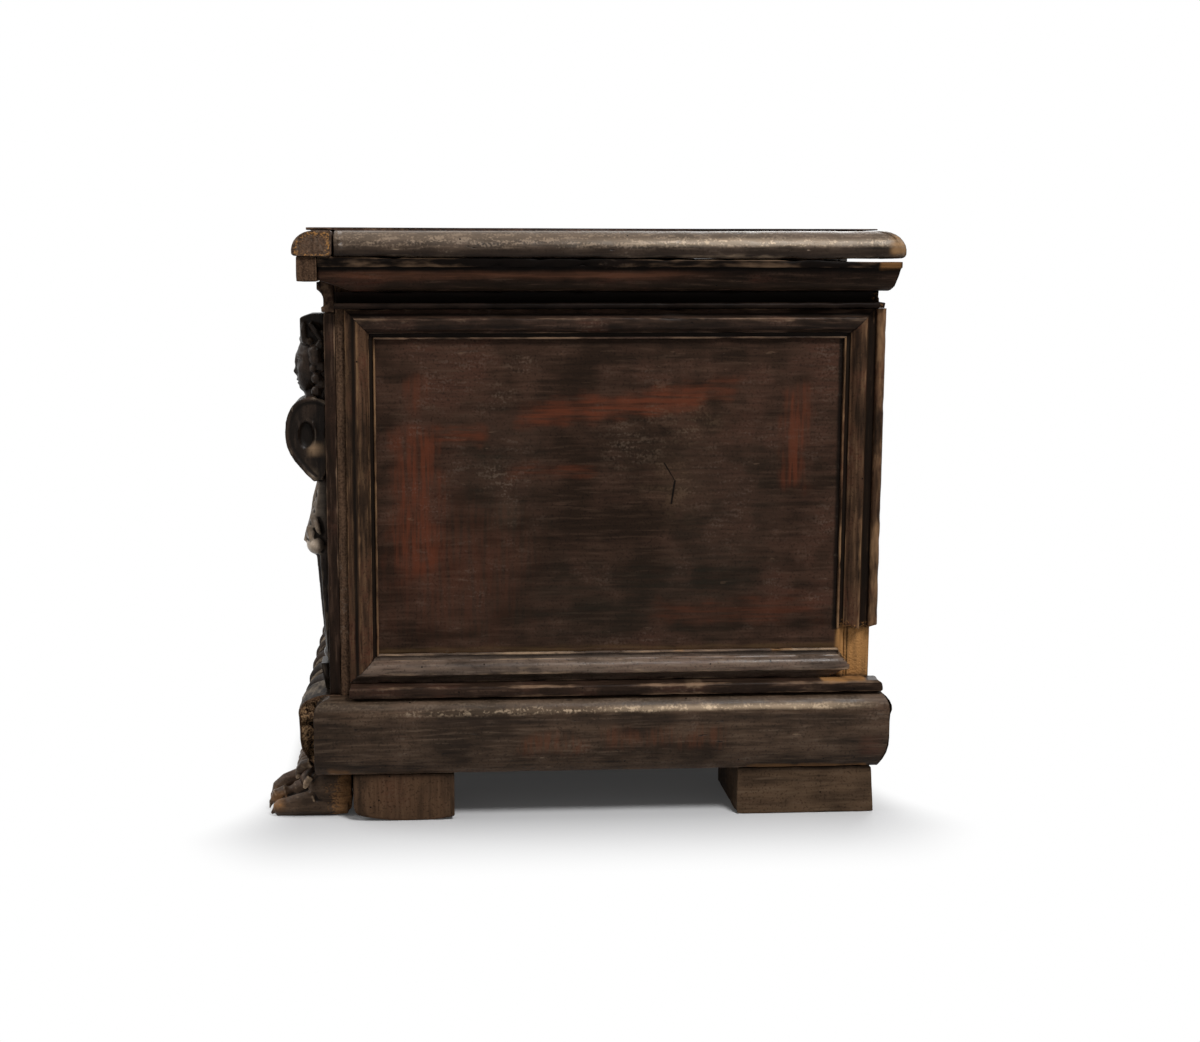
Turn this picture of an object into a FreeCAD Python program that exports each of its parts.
"""Cassone: a long walnut chest with corner herms, paw feet and a hinged lid, in millimetres.

X runs along the length, the front faces -Y, and the floor is at Z zero.
The origin is on the floor, under the middle of the chest.
"""
import FreeCAD, Part
import math
import os

os.makedirs("parts", exist_ok=True)

# Carcase boards
carcase_length = 1576.0
front_board_thickness = 22.0
back_board_thickness = 25.5
end_board_thickness = 25.0
bottom_board_thickness = 22.0
bottom_board_lift = 14.0
back_neck_groove_depth = 5.0
back_neck_groove_height = 6.0

# Feet and blocks
foot_height = 48.0
paw_reach = 76.0
paw_heel_overlap = 8.5
paw_width = 78.0
paw_toe_length = 48.0
paw_toe_height = 29.0
paw_knuckle_height = 38.0
paw_instep_length = 40.0
paw_end_inset = 2.0
toe_count = 4
claw_length = 13.0
claw_thickness = 7.0
tuft_rise = 12.0
tuft_reach = 36.0
tuft_thickness = 26.0
tuft_clear_reach = 32.0
block_gap = 2.5
front_block_length = 100.0
rear_block_length = 139.0
block_width = 112.0
block_bow_height = 5.0
block_corner_radius = 9.0
block_edge_round = 3.0
rear_block_overhang = 6.5

# Base mouldings
base_height = 78.0
base_end_reach = 28.0
base_back_reach = 16.0
base_front_cover = 26.0
base_end_corner_radius = 14.0
base_core_reach = 29.0
lobe_reach = 42.0
lobe_side_drop = 11.0
lobe_groove = 1.2
lobe_lean = 17.0
lobe_root = 8.0
lobes_per_side = 12
centre_boss_width = 58.0
centre_boss_reach = 38.0
torus_end_margin = 8.0

# Bead over the base
bead_height = 12.0
bead_end_reach = 23.0
bead_front_reach = 19.0
bead_back_overhang = 10.0

# Panel frames
frame_width = 29.0
frame_relief = 12.0
frame_front_margin = 9.0
frame_back_margin = 5.0
end_frame_depth = 511.0
end_frame_height = 364.5
back_strip_width = 11.0
back_strip_relief = 11.0
broken_length = 48.0

# Pilasters and centre stile
pilaster_width = 82.0
pilaster_thickness = 10.8
centre_stile_width = 112.0

# Frieze and cornice
end_frieze_height = 16.5
end_frieze_reach = 13.0
end_frieze_neck_reach = 5.0
end_frieze_bead_height = 6.0
end_frieze_back_overhang = 4.0
cornice_height = 28.0
cornice_end_reach = 34.0
cornice_back_reach = 12.5
front_cornice_gap = 14.0
front_cornice_thickness = 19.5
front_cornice_height = 18.5
front_frieze_height = 29.5
front_frieze_reach = 17.0
front_frieze_neck_reach = 10.8
front_frieze_fillet_reach = 13.0
front_frieze_fillet_height = 6.0

# Herms
herm_width = 58.0
herm_back_thickness = 6.0
herm_plinth_height = 26.0
herm_plinth_reach = 13.0
herm_plinth_foot_reach = 8.0
herm_foot_height = 17.0
herm_foot_reach = 9.0
shaft_foot_width = 32.0
shaft_top_width = 46.0
shaft_foot_thickness = 4.0
shaft_top_thickness = 17.0
leaf_length = 63.0
leaf_ball_size = 23.0
leaf_ball_reach = 27.0
leaf_neck_reach = 12.0
scroll_height = 83.0
scroll_reach = 39.5
scroll_eye_height = 54.0
scroll_eye_width = 24.0
scroll_rim = 3.0
head_stand = 3.0
head_height = 62.0
head_depth = 31.0
head_width = 44.0
head_reach = 30.0
neck_width = 26.0
neck_height = 26.0
curl_size = 14.0
curl_count = 4
hair_reach = 12.0
headdress_height = 26.0
headdress_rise = 15.5
headdress_width = 50.0
headdress_reach = 24.0
herm_top_gap = 1.5

# Lid
lid_gap = 2.7
lid_board_thickness = 30.3
lid_board_round = 3.0
lid_front_overhang = 38.0
lid_end_overhang = 37.0
lid_back_overhang = 15.0
lid_moulding_width = 38.0
lid_moulding_height = 26.3
lid_moulding_foot = 4.0
lid_moulding_rise = 9.0

# Strap hinges
hinge_from_end = 250.0
strap_width = 40.0
strap_thickness = 2.2
lid_strap_length = 240.0
carcase_strap_drop = 90.0
strap_point_length = 26.0
knuckle_radius = 4.2
knuckle_width = 13.0
knuckle_side_gap = 0.3
hinge_pin_radius = 2.3
hinge_pin_play = 0.05
hinge_back_clearance = 0.7
pin_head_radius = 3.8
pin_head_height = 2.0

# Levels and planes worked out from the sizes above
carcase_depth = frame_front_margin + end_frame_depth + frame_back_margin
hinge_back_reach = lid_back_overhang + hinge_back_clearance + 2 * knuckle_radius
overall_depth = paw_reach + carcase_depth + hinge_back_reach
end_x = carcase_length / 2
front_y = paw_reach - overall_depth / 2
back_y = front_y + carcase_depth
board_joint_y = back_y - back_board_thickness
base_top = foot_height + base_height
bead_top = base_top + bead_height
frame_top = bead_top + end_frame_height
cornice_bottom = frame_top + end_frieze_height
carcase_top = cornice_bottom + cornice_height
front_frieze_bottom = carcase_top - front_cornice_height - front_frieze_height
head_bottom = front_frieze_bottom - herm_top_gap - headdress_rise - head_height
scroll_top = head_bottom - head_stand
leaf_ball_height = scroll_top - scroll_height - leaf_length
pilaster_face_y = front_y - pilaster_thickness
pilaster_x = end_x - pilaster_width
lid_bottom = carcase_top + lid_gap
hinge_y = back_y + lid_back_overhang + hinge_back_clearance + knuckle_radius
hinge_z = carcase_top + lid_gap / 2
hinge_x = end_x - hinge_from_end
overrun = carcase_depth

# How finely the carved bodies are cut: flats round them, and levels as shares of half their height
fine_sides = 12
coarse_sides = 8
plain_sides = 6
fine_level_shares = (-0.98, -0.80, -0.42, 0.0, 0.42, 0.80, 0.98)
coarse_level_shares = (-0.96, -0.55, 0.0, 0.55, 0.96)
plain_level_shares = (-0.94, -0.35, 0.35, 0.94)

# Rise of a half round and of a rounded corner, as shares of their chord
round_bow_share = 0.5
corner_bow_share = 0.2

V = FreeCAD.Vector


def bowed_edge(start, end, bow_share):
    """Arc from start to end whose rise is bow_share of its chord, to the left of its way."""
    chord = end - start
    middle = (start + end) * 0.5
    side = V(-chord.y, chord.x, 0)
    return Part.Arc(start, middle + side * bow_share, end).toShape()


def flat_face(corners):
    """Face in the XY plane; a corner's third value bows the edge that ends there."""
    edges = []
    for index, corner in enumerate(corners):
        start = V(*corners[index - 1][:2])
        end = V(*corner[:2])
        if len(corner) == 3:
            edges.append(bowed_edge(start, end, corner[2]))
        else:
            edges.append(Part.LineSegment(start, end).toShape())
    return Part.Face(Part.Wire(edges))


def seated(shape, origin, across, normal):
    """Place a shape so that its Y lies along across and its Z along normal, at origin."""
    along = across.cross(normal)
    matrix = FreeCAD.Matrix(
        along.x, across.x, normal.x, origin.x,
        along.y, across.y, normal.y, origin.y,
        along.z, across.z, normal.z, origin.z,
        0, 0, 0, 1,
    )
    shape.transformShape(matrix, True)
    return shape


def block(x_low, x_high, y_low, y_high, z_low, z_high):
    """Squared timber between six planes."""
    return Part.makeBox(x_high - x_low, y_high - y_low, z_high - z_low, V(x_low, y_low, z_low))


def profile_along_x(corners, x_low, x_high):
    """Prism along X of an outline given in (y, z)."""
    face = flat_face(corners)
    face.rotate(V(0, 0, 0), V(1, 1, 1), 120)
    face.translate(V(x_low, 0, 0))
    return face.extrude(V(x_high - x_low, 0, 0))


def profile_along_y(corners, y_low, y_high):
    """Prism along Y of an outline given in (x, z)."""
    face = flat_face(corners)
    face.rotate(V(0, 0, 0), V(1, 0, 0), 90)
    face.translate(V(0, y_high, 0))
    return face.extrude(V(0, y_low - y_high, 0))


def plan_mask(corners, z_low, z_high):
    """Upright prism of a plan outline given in (x, y)."""
    face = flat_face(corners)
    face.translate(V(0, 0, z_low))
    return face.extrude(V(0, 0, z_high - z_low))


def mirrored(shape):
    """The same piece at the left end of the chest."""
    return shape.mirror(V(0, 0, 0), V(1, 0, 0))


def faceted(rings):
    """Closed solid skinned in flat cuts over rings of points, all with the same count."""
    faces = [Part.Face(Part.makePolygon(ring + ring[:1])) for ring in (rings[0], rings[-1])]
    for lower, upper in zip(rings, rings[1:]):
        for index, corner in enumerate(lower):
            before = index - 1
            first = [lower[before], corner, upper[index], lower[before]]
            second = [lower[before], upper[index], upper[before], lower[before]]
            faces.append(Part.Face(Part.makePolygon(first)))
            faces.append(Part.Face(Part.makePolygon(second)))
    shell = Part.makeShell(faces)
    shell.sewShape()
    solid = Part.makeSolid(shell)
    if solid.Volume < 0:
        solid.reverse()
    return solid


def hewn(centre, width, depth, height, sides, level_shares):
    """Egg-shaped body cut in flats, with the given full sizes along X, Y and Z."""
    rings = []
    for level_share in level_shares:
        radius_share = math.sqrt(1 - level_share ** 2)
        ring = []
        for index in range(sides):
            angle = 2 * math.pi * (index + 0.5) / sides
            x = centre.x + width / 2 * radius_share * math.cos(angle)
            y = centre.y + depth / 2 * radius_share * math.sin(angle)
            ring.append(V(x, y, centre.z + height / 2 * level_share))
        rings.append(ring)
    return faceted(rings)


def united(first, others):
    """One carved solid from overlapping bodies."""
    solid = first.fuse(others)
    return solid.removeSplitter()


def save(name, shape):
    """Write one piece under its own name."""
    shape.exportStep(os.path.join("parts", name + ".step"))


def save_pair(name, right_shape):
    """Write a piece of the right end and its mirror image at the left end."""
    save("right_" + name, right_shape)
    save("left_" + name, mirrored(right_shape))


def make_boards():
    """Front, back, end and bottom boards of the carcase."""
    front_inner = front_y + front_board_thickness
    end_inner = end_x - end_board_thickness
    save("front_board", block(-end_x, end_x, front_y, front_inner, foot_height, carcase_top))
    back = block(-end_x, end_x, board_joint_y, back_y, foot_height, carcase_top)
    groove_top = cornice_bottom
    groove_floor = back_y - back_neck_groove_depth
    groove_bottom = groove_top - back_neck_groove_height
    past_end = overrun + end_x
    groove = block(-past_end, past_end, groove_floor, back_y + overrun, groove_bottom, groove_top)
    back = back.cut([groove] + [hinge_notch(side) for side in (-1, 1)])
    save("back_board", back)
    end = block(end_inner, end_x, front_inner, board_joint_y, foot_height, carcase_top)
    save_pair("end_board", end)
    bottom_low = foot_height + bottom_board_lift
    bottom = block(
        -end_inner, end_inner, front_inner, board_joint_y, bottom_low, bottom_low + bottom_board_thickness
    )
    save("bottom_board", bottom)


def hinge_notch(side):
    """Shallow housing in the top edge that lets in the fixed strap of one hinge."""
    centre = side * hinge_x
    half = strap_width / 2
    low = carcase_top - strap_thickness
    return block(
        centre - half, centre + half, board_joint_y - overrun, back_y + overrun, low, carcase_top + overrun
    )


def frame_section():
    """Section of a panel moulding: fillet, cove, ovolo, groove and inner fillet."""
    cove_share, crest_share, ovolo_share, quirk_share, groove_share = 0.07, 0.33, 0.40, 0.78, 0.93
    fillet_rise_share, ovolo_rise_share, quirk_rise_share = 0.42, 0.55, 0.25
    inner_rise_share = 0.38
    cove_bow_share, ovolo_bow_share = -0.16, 0.14
    width = frame_width
    relief = frame_relief
    return [
        (0, 0),
        (0, relief * fillet_rise_share),
        (width * cove_share, relief * fillet_rise_share),
        (width * crest_share, relief, cove_bow_share),
        (width * ovolo_share, relief),
        (width * quirk_share, relief * ovolo_rise_share, ovolo_bow_share),
        (width * quirk_share, relief * quirk_rise_share),
        (width * groove_share, relief * quirk_rise_share),
        (width * groove_share, relief * inner_rise_share),
        (width, relief * inner_rise_share),
        (width, 0),
    ]


def frame_member(length, start_mitred=True, end_mitred=True):
    """One moulding of a panel frame: X along it, Y from its outer edge inwards, Z off the panel."""
    section = [(y, z) + tuple(rest) for y, z, *rest in frame_section()]
    bar = profile_along_x(section, 0, length)
    start = frame_width if start_mitred else 0
    end = length - frame_width if end_mitred else length
    mask = plan_mask([(0, 0), (length, 0), (end, frame_width), (start, frame_width)], 0, frame_relief)
    return bar.common(mask)


def make_end_frame():
    """Four mitred mouldings on the end panel, broken away at the lower back corner."""
    front_edge = front_y + frame_front_margin
    back_edge = front_edge + end_frame_depth
    out = V(1, 0, 0)
    strip_bow_share = 0.42
    bottom = seated(frame_member(end_frame_depth), V(end_x, front_edge, bead_top), V(0, 0, 1), out)
    top = seated(frame_member(end_frame_depth), V(end_x, back_edge, frame_top), V(0, 0, -1), out)
    front = seated(frame_member(end_frame_height), V(end_x, front_edge, frame_top), V(0, 1, 0), out)
    back = seated(frame_member(end_frame_height), V(end_x, back_edge, bead_top), V(0, -1, 0), out)
    strip = profile_along_x(
        [
            (-back_strip_width, 0),
            (-back_strip_width, back_strip_relief / 2),
            (0, back_strip_relief / 2, strip_bow_share),
            (0, 0),
        ],
        0,
        end_frame_height,
    )
    strip = seated(strip, V(end_x, back_edge, bead_top), V(0, -1, 0), out)
    broken_top = bead_top + broken_length
    waste = block(0, overrun + end_x, back_edge - frame_width, back_edge + overrun, 0, broken_top)
    back = united(back, [strip]).cut(waste)
    bottom = bottom.cut(waste)
    save_pair("end_bottom_moulding", bottom)
    save_pair("end_top_moulding", top)
    save_pair("end_front_moulding", front)
    save_pair("end_back_moulding", back)


def make_front_frames():
    """Two long panels on the front, each with four mitred mouldings."""
    inner = centre_stile_width / 2
    length = pilaster_x - inner
    height = front_frieze_bottom - bead_top
    out = V(0, -1, 0)
    bottom = seated(frame_member(length), V(inner, front_y, bead_top), V(0, 0, 1), out)
    top = seated(frame_member(length), V(pilaster_x, front_y, front_frieze_bottom), V(0, 0, -1), out)
    outer = seated(frame_member(height), V(pilaster_x, front_y, bead_top), V(-1, 0, 0), out)
    centre = seated(frame_member(height), V(inner, front_y, front_frieze_bottom), V(1, 0, 0), out)
    save_pair("front_bottom_moulding", bottom)
    save_pair("front_top_moulding", top)
    save_pair("front_outer_moulding", outer)
    save_pair("front_inner_moulding", centre)


def make_pilasters():
    """Flat boards behind the herms and the stile between the two front panels."""
    corner = block(pilaster_x, end_x, pilaster_face_y, front_y, base_top, front_frieze_bottom)
    save_pair("corner_pilaster", corner)
    half = centre_stile_width / 2
    save("centre_stile", block(-half, half, pilaster_face_y, front_y, bead_top, front_frieze_bottom))


def make_beads():
    """Rounded beads that lie on the base, along the ends and between the front pilasters."""
    nose = bead_height / 2
    end_section = [
        (end_x, base_top),
        (end_x + bead_end_reach - nose, base_top),
        (end_x + bead_end_reach - nose, bead_top, -round_bow_share),
        (end_x, bead_top),
    ]
    low = front_y + frame_front_margin
    high = back_y + bead_back_overhang
    reach = end_x + bead_end_reach
    rounding = [
        (end_x, low),
        (reach, low),
        (reach, high - nose),
        (reach - nose, high, -corner_bow_share),
        (end_x, high),
    ]
    bead = profile_along_y(end_section, low, high).common(plan_mask(rounding, base_top, bead_top))
    save_pair("end_bead", bead)
    front_section = [
        (front_y, base_top),
        (front_y, bead_top),
        (front_y - bead_front_reach + nose, bead_top),
        (front_y - bead_front_reach + nose, base_top, -round_bow_share),
    ]
    save("front_bead", profile_along_x(front_section, -pilaster_x, pilaster_x))


def base_section(face, reach, sign):
    """Base moulding in section: a broad ovolo over a face that draws in at its foot."""
    top_share, bulge_share, foot_share = 0.45, 1.0, 0.62
    ovolo_rise_share, face_rise_share, toe_rise_share, toe_share = 0.72, 0.45, 0.05, 0.50
    face_bow_share, ovolo_bow_share = 0.06, 0.22
    level = foot_height
    return [
        (face, level),
        (face + sign * reach * toe_share, level),
        (face + sign * reach * foot_share, level + base_height * toe_rise_share),
        (face + sign * reach * bulge_share, level + base_height * face_rise_share, -sign * face_bow_share),
        (face + sign * reach * bulge_share, level + base_height * ovolo_rise_share),
        (face + sign * reach * top_share, base_top, -sign * ovolo_bow_share),
        (face, base_top),
    ]


def make_end_and_back_base():
    """Base mouldings of the ends and the back, mitred at the back corners."""
    low = front_y - base_front_cover
    high = back_y + base_back_reach
    outer = end_x + base_end_reach
    radius = base_end_corner_radius
    end = profile_along_y(base_section(end_x, base_end_reach, 1), low, high)
    plan = [(end_x, low), (outer, low), (outer, high), (end_x, back_y)]
    end = end.common(plan_mask(plan, foot_height, base_top))
    corner = [
        (low, foot_height),
        (high, foot_height),
        (high, base_top),
        (low + radius, base_top),
        (low, base_top - radius, -corner_bow_share),
    ]
    end = end.common(profile_along_x(corner, 0, outer))
    save_pair("end_base_moulding", end)
    back = profile_along_x(base_section(back_y, base_back_reach, 1), -outer, outer)
    plan = [(-end_x, back_y), (end_x, back_y), (outer, high), (-outer, high)]
    save("back_base_moulding", back.common(plan_mask(plan, foot_height, base_top)))


def lobe_ring(level, reach_share, lean_share):
    """Level section of one gadroon: straight sides and a rounded front cut in flats."""
    across_shares = (-1.0, -0.45, 0.45, 1.0)
    half = (lobe_pitch() - lobe_groove) / 2
    shift = lobe_lean * lean_share
    root = front_y - lobe_root
    front = front_y - lobe_reach * reach_share
    ring = [V(shift - half, root, level)]
    for across_share in across_shares:
        ring.append(V(shift + half * across_share, front + lobe_side_drop * across_share ** 2, level))
    ring.append(V(shift + half, root, level))
    return ring


def lobe_pitch():
    """Distance from one gadroon to the next along the front."""
    run = end_x - torus_end_margin - lobe_lean - centre_boss_width / 2
    return run / lobes_per_side


def gadroon():
    """One leaning lobe, full at its middle and drawn in at its head and foot."""
    level_shares = (0.04, 0.26, 0.66, 0.86, 0.96)
    reach_shares = (0.60, 0.86, 1.00, 0.88, 0.72)
    lean_shares = (0.9, 0.5, -0.35, -0.75, -0.95)
    rings = []
    for level_share, reach_share, lean_share in zip(level_shares, reach_shares, lean_shares):
        rings.append(lobe_ring(foot_height + base_height * level_share, reach_share, lean_share))
    return faceted(rings)


def make_front_base():
    """Front base moulding: a core with gadroons that lean away from a boss in the middle."""
    flats = [corner[:2] for corner in base_section(front_y, base_core_reach, -1)]
    core = profile_along_x(flats, -end_x, end_x)
    lobe = gadroon()
    pitch = lobe_pitch()
    first = centre_boss_width / 2 + pitch / 2
    lobes = []
    for index in range(lobes_per_side):
        piece = lobe.copy()
        piece.translate(V(first + index * pitch, 0, 0))
        lobes.append(piece)
        lobes.append(mirrored(piece))
    middle = V(0, front_y - base_core_reach / 2, foot_height + base_height / 2)
    depth = 2 * centre_boss_reach - base_core_reach
    boss = hewn(middle, centre_boss_width, depth, base_height, fine_sides, fine_level_shares)
    boss = boss.common(block(-end_x, end_x, front_y - overrun, front_y, foot_height, base_top))
    save("front_base_moulding", united(core, lobes + [boss]))


def make_end_frieze():
    """Bead and hollow neck between the end panel and the cornice."""
    reach = end_x + end_frieze_reach
    neck = end_x + end_frieze_neck_reach
    bead = frame_top + end_frieze_bead_height
    bead_bow_share, neck_bow_share = -0.3, 0.12
    section = [
        (end_x, frame_top),
        (reach, frame_top),
        (reach, bead, bead_bow_share),
        (neck, bead),
        (neck, cornice_bottom, neck_bow_share),
        (end_x, cornice_bottom),
    ]
    low = front_y
    save_pair("end_frieze", profile_along_y(section, low, back_y + end_frieze_back_overhang))


def cornice_section(face, reach, foot_reach):
    """Cornice in section: rounded foot, sloping face and a fillet under the lid."""
    round_share, arris_share, slope_share = 0.30, 0.72, 0.93
    arris_rise_share, slope_rise_share = 0.31, 0.78
    round_bow_share, slope_bow_share = -0.16, -0.03
    span = reach - foot_reach
    arris = cornice_bottom + cornice_height * arris_rise_share
    fillet = cornice_bottom + cornice_height * slope_rise_share
    return [
        (face, cornice_bottom),
        (face + foot_reach + span * round_share, cornice_bottom),
        (face + foot_reach + span * arris_share, arris, round_bow_share),
        (face + foot_reach + span * slope_share, fillet, slope_bow_share),
        (face + reach, fillet),
        (face + reach, carcase_top),
        (face, carcase_top),
    ]


def make_cornice():
    """Cornice round the carcase: moulded ends and back, and a square strip along the front."""
    outer = end_x + cornice_end_reach
    high = back_y + cornice_back_reach
    low = front_y - front_cornice_gap
    end = profile_along_y(cornice_section(end_x, cornice_end_reach, 0), low, high)
    plan = [(end_x, low), (outer, low), (outer, high), (end_x, back_y)]
    save_pair("end_cornice", end.common(plan_mask(plan, cornice_bottom, carcase_top)))
    back = profile_along_x(cornice_section(back_y, cornice_back_reach, 0), -outer, outer)
    plan = [(-end_x, back_y), (end_x, back_y), (outer, high), (-outer, high)]
    back = back.common(plan_mask(plan, cornice_bottom, carcase_top))
    save("back_cornice", back.cut([hinge_notch(side) for side in (-1, 1)]))
    front = block(
        -outer, outer, low - front_cornice_thickness, low, carcase_top - front_cornice_height, carcase_top
    )
    save("front_cornice", front)


def make_front_frieze():
    """Bed moulding under the front cornice strip, from the strip down to the pilasters."""
    shelf = carcase_top - front_cornice_height
    hollow_share, round_share, hollow_bow_share = 0.30, 0.72, 0.14
    low = front_frieze_bottom
    fillet = low + front_frieze_fillet_height
    rise = shelf - fillet
    section = [
        (front_y, low),
        (front_y, carcase_top),
        (front_y - front_cornice_gap, carcase_top),
        (front_y - front_cornice_gap, shelf),
        (front_y - front_frieze_reach, shelf),
        (front_y - front_frieze_reach, fillet + rise * round_share),
        (front_y - front_frieze_neck_reach, fillet + rise * hollow_share, hollow_bow_share),
        (front_y - front_frieze_neck_reach, fillet),
        (front_y - front_frieze_fillet_reach, fillet),
        (front_y - front_frieze_fillet_reach, low),
    ]
    save("front_frieze", profile_along_x(section, -end_x, end_x))


def shaft_ring(centre_x, width, thickness, level):
    """Level rectangle on the pilaster's face, for the tapering shaft."""
    half = width / 2
    return [
        V(centre_x - half, pilaster_face_y, level),
        V(centre_x + half, pilaster_face_y, level),
        V(centre_x + half, pilaster_face_y - thickness, level),
        V(centre_x - half, pilaster_face_y - thickness, level),
    ]


def herm_shaft(centre_x):
    """Tapering shaft from its small foot up to the leaf, with a rounded toe on the plinth."""
    low = base_top + herm_plinth_height
    foot = shaft_ring(centre_x, shaft_foot_width, shaft_foot_thickness, low)
    top = shaft_ring(centre_x, shaft_top_width, shaft_top_thickness, leaf_ball_height)
    toe_centre = V(centre_x, pilaster_face_y, low + herm_foot_height / 2)
    toe_depth = 2 * herm_foot_reach
    toe = hewn(
        toe_centre, shaft_foot_width, toe_depth, herm_foot_height, coarse_sides, coarse_level_shares
    )
    return [faceted([foot, top]), toe]


def herm_back(centre_x):
    """Thin ground of the carving, flat on the pilaster behind the leaf, scroll and head."""
    half = shaft_top_width / 2
    top = head_bottom + head_height
    return block(
        centre_x - half, centre_x + half, pilaster_face_y - herm_back_thickness, pilaster_face_y,
        leaf_ball_height, top,
    )


def herm_scroll(centre_x):
    """Console scroll: an oval with a pointed lip below, and a raised eye on each flank."""
    eye_share, lip_share, lip_reach_share = 0.47, 0.06, 0.45
    belly_bow_share, brow_bow_share, back_bow_share = 0.12, 0.21, 0.18
    low = scroll_top - scroll_height
    middle = scroll_top - scroll_height * eye_share
    lip = low + scroll_height * lip_share
    face = pilaster_face_y
    outline = [
        (face, low),
        (face - scroll_reach * lip_reach_share, low),
        (face - scroll_reach * lip_reach_share, lip),
        (face - scroll_reach, middle, belly_bow_share),
        (face - scroll_reach / 2, scroll_top, brow_bow_share),
        (face, middle + scroll_height / 4, back_bow_share),
    ]
    half = herm_width / 2 - scroll_rim
    body = profile_along_x(outline, centre_x - half, centre_x + half)
    eye_y = face - scroll_reach / 2
    eye_rings = []
    for x in (centre_x - herm_width / 2, centre_x + herm_width / 2):
        ring = []
        for index in range(fine_sides):
            angle = 2 * math.pi * index / fine_sides
            y = eye_y + scroll_eye_width / 2 * math.cos(angle)
            ring.append(V(x, y, middle + scroll_eye_height / 2 * math.sin(angle)))
        eye_rings.append(ring)
    return [body, faceted(eye_rings)]


def herm_leaf(centre_x):
    """Hanging leaf under the scroll, which swells to a curled tip."""
    face = pilaster_face_y
    low = leaf_ball_height
    high = scroll_top - scroll_height + scroll_rim
    leaf_bow_share = -0.06
    outline = [
        (face, low),
        (face - leaf_ball_reach, low),
        (face - leaf_neck_reach, high, leaf_bow_share),
        (face, high),
    ]
    half = shaft_top_width / 2
    body = profile_along_x(outline, centre_x - half, centre_x + half)
    ball_y = face - leaf_ball_reach + leaf_ball_size / 2
    ball_centre = V(centre_x, ball_y, low)
    ball = hewn(
        ball_centre, shaft_top_width, leaf_ball_size, leaf_ball_size, fine_sides, coarse_level_shares
    )
    return [body, ball]


def herm_head(centre_x):
    """Head before a mass of hair, with curls at each side, under a folded headdress."""
    face = pilaster_face_y
    centre_y = face - head_reach + head_depth / 2
    middle = head_bottom + head_height / 2
    head_centre = V(centre_x, centre_y, middle)
    head = hewn(head_centre, head_width, head_depth, head_height, fine_sides, fine_level_shares)
    neck_low = scroll_top - neck_height / 2
    neck_high = scroll_top + neck_height
    half = neck_width / 2
    neck = block(centre_x - half, centre_x + half, face - head_reach / 2, face, neck_low, neck_high)
    half = head_width / 2
    hair_top = head_bottom + head_height
    hair = block(centre_x - half, centre_x + half, face - hair_reach, face, head_bottom, hair_top)
    curls = []
    for side in (-1, 1):
        for index in range(curl_count):
            level = head_bottom + curl_size * (index + 0.5)
            place = V(centre_x + side * head_width / 2, face - curl_size / 2, level)
            curls.append(
                hewn(place, curl_size, curl_size, curl_size, coarse_sides, plain_level_shares)
            )
    cap_low = head_bottom + head_height - headdress_height / 2
    cap_top = front_frieze_bottom - herm_top_gap
    half = headdress_width / 2
    shoulder_share, brow_bow_share = 0.7, 0.1
    outline = [
        (face, cap_low),
        (face - headdress_reach, cap_low),
        (face - headdress_reach, cap_top - headdress_height * (1 - shoulder_share)),
        (face - headdress_reach * shoulder_share, cap_top, brow_bow_share),
        (face, cap_top),
    ]
    cap = profile_along_x(outline, centre_x - half, centre_x + half)
    return [head, neck, hair, cap] + curls


def make_herm():
    """Carved corner figure in one piece, flat against its pilaster, and its small plinth."""
    centre_x = end_x - pilaster_width / 2
    bodies = herm_shaft(centre_x) + herm_scroll(centre_x) + herm_leaf(centre_x) + herm_head(centre_x)
    herm = united(herm_back(centre_x), bodies)
    half = pilaster_width / 2
    space = block(
        centre_x - half, centre_x + half, pilaster_face_y - overrun, pilaster_face_y, base_top, carcase_top
    )
    save_pair("herm", herm.common(space))
    low = base_top
    high = base_top + herm_plinth_height
    face = pilaster_face_y
    outline = [
        (face, low),
        (face - herm_plinth_foot_reach, low),
        (face - herm_plinth_reach, high),
        (face, high),
    ]
    half = shaft_foot_width / 2
    save_pair("herm_plinth", profile_along_x(outline, centre_x - half, centre_x + half))


def paw_body(centre_x):
    """Heel and instep of a paw as one bowed wedge."""
    heel = front_y + paw_heel_overlap
    toe = front_y - paw_reach + paw_toe_length / 2
    instep = front_y - paw_instep_length
    instep_bow_share = -0.10
    outline = [
        (heel, 0),
        (heel, foot_height),
        (instep, foot_height),
        (toe, paw_toe_height / 2, instep_bow_share),
        (toe, 0),
    ]
    half = paw_width / 2
    return profile_along_x(outline, centre_x - half, centre_x + half)


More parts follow.
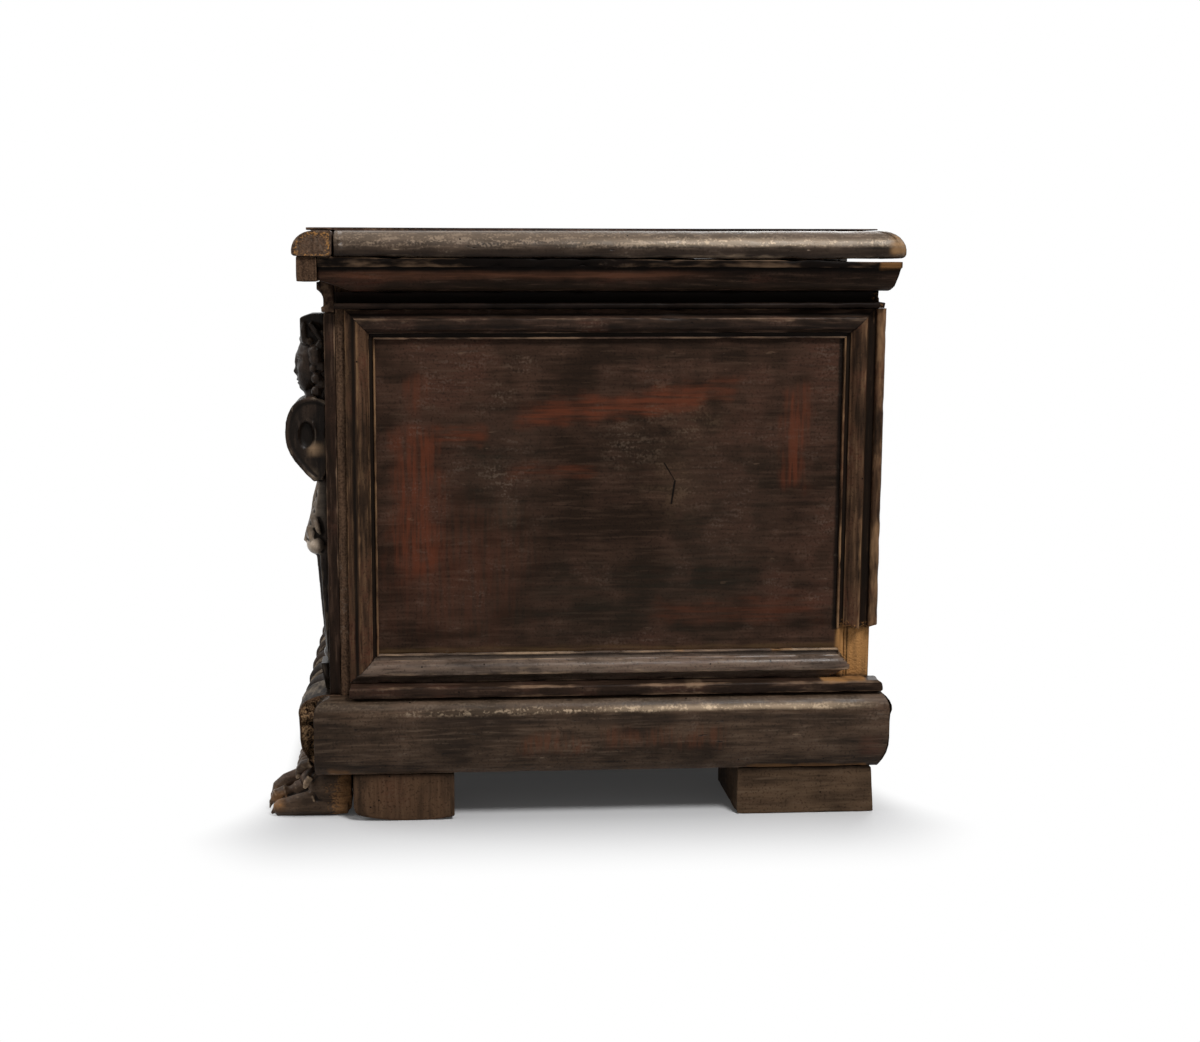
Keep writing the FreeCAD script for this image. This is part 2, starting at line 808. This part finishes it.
def make_paw_foot():
    """Lion's paw in one piece: heel, knuckled toes, claws and a tuft of fur in front of the base."""
    centre_x = end_x - paw_width / 2 - paw_end_inset
    toe_width = paw_width / toe_count
    spread_share = 1.12
    bodies = []
    for index in range(toe_count):
        x = centre_x - paw_width / 2 + toe_width * (index + 0.5)
        toe_y = front_y - paw_reach + claw_length / 2 + paw_toe_length / 2
        toe_centre = V(x, toe_y, paw_toe_height / 2)
        toe = hewn(
            toe_centre, toe_width * spread_share, paw_toe_length, paw_toe_height,
            coarse_sides, coarse_level_shares,
        )
        knuckle_centre = V(x, front_y - paw_instep_length - claw_length / 2, paw_knuckle_height / 2)
        knuckle = hewn(
            knuckle_centre, toe_width, paw_toe_length, paw_knuckle_height,
            coarse_sides, plain_level_shares,
        )
        claw_centre = V(x, front_y - paw_reach + claw_length / 2, claw_thickness)
        claw = hewn(
            claw_centre, claw_thickness, claw_length, 2 * claw_thickness,
            plain_sides, plain_level_shares,
        )
        bodies += [toe, knuckle, claw]
    tuft_centre = V(centre_x, front_y - tuft_reach, foot_height)
    tuft_width = paw_width - toe_width
    bodies.append(
        hewn(tuft_centre, tuft_width, tuft_thickness, 2 * tuft_rise, fine_sides, coarse_level_shares)
    )
    paw = united(paw_body(centre_x), bodies)
    half = paw_width / 2
    tip = front_y - paw_reach
    tuft_back = front_y - tuft_clear_reach
    front = block(centre_x - half, centre_x + half, tip, tuft_back, 0, foot_height + tuft_rise)
    rear = block(centre_x - half, centre_x + half, tip, front_y + paw_heel_overlap, 0, foot_height)
    save_pair("paw_foot", paw.common(united(rear, [front])))


def make_blocks():
    """Plain blocks under the ends: a bowed one behind each paw and a square one at the back."""
    near = end_x + frame_relief
    far = near - block_width
    low = front_y + paw_heel_overlap + block_gap
    high = low + front_block_length
    radius = block_corner_radius
    outline = [
        (low, foot_height),
        (low, block_bow_height + radius),
        (low + radius, block_bow_height, -corner_bow_share),
        (high, block_bow_height, -block_bow_height / (front_block_length - radius)),
        (high, foot_height),
    ]
    save_pair("front_block", profile_along_x(outline, far, near))
    high = back_y + rear_block_overhang
    low = high - rear_block_length
    edge = block_edge_round
    outline = [
        (low, 0),
        (high, 0),
        (high - edge, foot_height - edge),
        (high - 2 * edge, foot_height, -corner_bow_share),
        (low, foot_height),
    ]
    save_pair("rear_block", profile_along_x(outline, far, near))


def lid_section(edge, sign):
    """Lid moulding in section, from its outer edge inwards, with a broad rounded top."""
    crown_share, crown_bow_share = 0.52, 0.19
    inner = edge - sign * lid_moulding_width
    top = lid_bottom + lid_moulding_height
    return [
        (inner, lid_bottom),
        (edge - sign * lid_moulding_foot, lid_bottom),
        (edge, lid_bottom + lid_moulding_foot, -sign * corner_bow_share),
        (edge, lid_bottom + lid_moulding_rise),
        (edge - sign * lid_moulding_width * crown_share, top, -sign * crown_bow_share),
        (inner, top),
    ]


def make_lid():
    """Lid board with a moulding nailed along each of its four edges, mitred at the back."""
    x_edge = end_x + lid_end_overhang
    y_front = front_y - lid_front_overhang
    y_back = back_y + lid_back_overhang
    width = lid_moulding_width
    x_in = x_edge - width
    board = block(
        -x_in, x_in, y_front + width, y_back - width, lid_bottom, lid_bottom + lid_board_thickness
    )
    top_edges = [edge for edge in board.Edges if edge.BoundBox.ZMin > lid_bottom + lid_moulding_height]
    save("lid_board", board.makeFillet(lid_board_round, top_edges))
    save("lid_front_moulding", profile_along_x(lid_section(y_front, -1), -x_edge, x_edge))
    top = lid_bottom + lid_moulding_height
    back = profile_along_x(lid_section(y_back, 1), -x_edge, x_edge)
    plan = [(-x_in, y_back - width), (x_in, y_back - width), (x_edge, y_back), (-x_edge, y_back)]
    save("lid_back_moulding", back.common(plan_mask(plan, lid_bottom, top)))
    end = profile_along_y(lid_section(x_edge, 1), y_front + width, y_back)
    plan = [(x_in, y_front + width), (x_edge, y_front + width), (x_edge, y_back), (x_in, y_back - width)]
    save_pair("lid_end_moulding", end.common(plan_mask(plan, lid_bottom, top)))


def knuckle(x_low, x_high):
    """One rolled eye of a strap, bored for the pin."""
    centre = V(x_low, hinge_y, hinge_z)
    length = x_high - x_low
    return Part.makeCylinder(knuckle_radius, length, centre, V(1, 0, 0))


def pin_bore():
    """Clear space for the hinge pin along the right-hand hinge."""
    radius = hinge_pin_radius + hinge_pin_play
    return Part.makeCylinder(radius, end_x, V(0, hinge_y, hinge_z), V(1, 0, 0))


def make_lid_strap():
    """Moving strap: a long pointed iron under the lid, rolled round the pin in the middle."""
    half = strap_width / 2
    near = back_y + lid_back_overhang - hinge_back_clearance
    far = near - lid_strap_length
    shoulder = far + strap_point_length
    low = lid_bottom - strap_thickness
    plan = [
        (hinge_x - half, near),
        (hinge_x - half, shoulder),
        (hinge_x, far),
        (hinge_x + half, shoulder),
        (hinge_x + half, near),
    ]
    strap = plan_mask(plan, low, lid_bottom)
    tongue_half = knuckle_width / 2
    tongue_y = near - strap_thickness
    tongue = block(hinge_x - tongue_half, hinge_x + tongue_half, tongue_y, hinge_y, low, lid_bottom)
    eye = knuckle(hinge_x - tongue_half, hinge_x + tongue_half)
    strap = united(strap, [tongue, eye]).cut(pin_bore())
    save_pair("lid_strap", strap)


def make_carcase_strap():
    """Fixed strap: let into the top edge, turned down inside the back board and pointed."""
    half = strap_width / 2
    top = carcase_top
    low = top - strap_thickness
    inner = board_joint_y - strap_thickness
    reach = back_y + cornice_back_reach
    shelf = block(hinge_x - half, hinge_x + half, inner, reach, low, top)
    shoulder = top - carcase_strap_drop + strap_point_length
    drop = profile_along_y(
        [
            (hinge_x - half, top),
            (hinge_x - half, shoulder),
            (hinge_x, top - carcase_strap_drop),
            (hinge_x + half, shoulder),
            (hinge_x + half, top),
        ],
        inner,
        board_joint_y,
    )
    inner_half = knuckle_width / 2 + knuckle_side_gap
    outer_half = inner_half + knuckle_width
    bodies = [drop]
    for side in (-1, 1):
        x_low = hinge_x + min(side * inner_half, side * outer_half)
        x_high = x_low + knuckle_width
        bodies.append(block(x_low, x_high, reach - strap_thickness, hinge_y, low, top))
        bodies.append(knuckle(x_low, x_high))
    strap = united(shelf, bodies).cut(pin_bore())
    save_pair("carcase_strap", strap)


def make_hinge_pin():
    """Headed pin through the three eyes of a hinge, held in the two fixed ones."""
    half = knuckle_width / 2 + knuckle_side_gap + knuckle_width
    start = V(hinge_x - half, hinge_y, hinge_z)
    pin = Part.makeCylinder(hinge_pin_radius, 2 * half, start, V(1, 0, 0))
    end = V(hinge_x + half, hinge_y, hinge_z)
    head = Part.makeCylinder(pin_head_radius, pin_head_height, end, V(1, 0, 0))
    save_pair("hinge_pin", united(pin, [head]))


make_boards()
make_end_frame()
make_front_frames()
make_pilasters()
make_beads()
make_end_and_back_base()
make_front_base()
make_end_frieze()
make_cornice()
make_front_frieze()
make_herm()
make_paw_foot()
make_blocks()
make_lid()
make_lid_strap()
make_carcase_strap()
make_hinge_pin()
print("overall depth", round(overall_depth, 1), "height", round(lid_bottom + lid_board_thickness, 1))
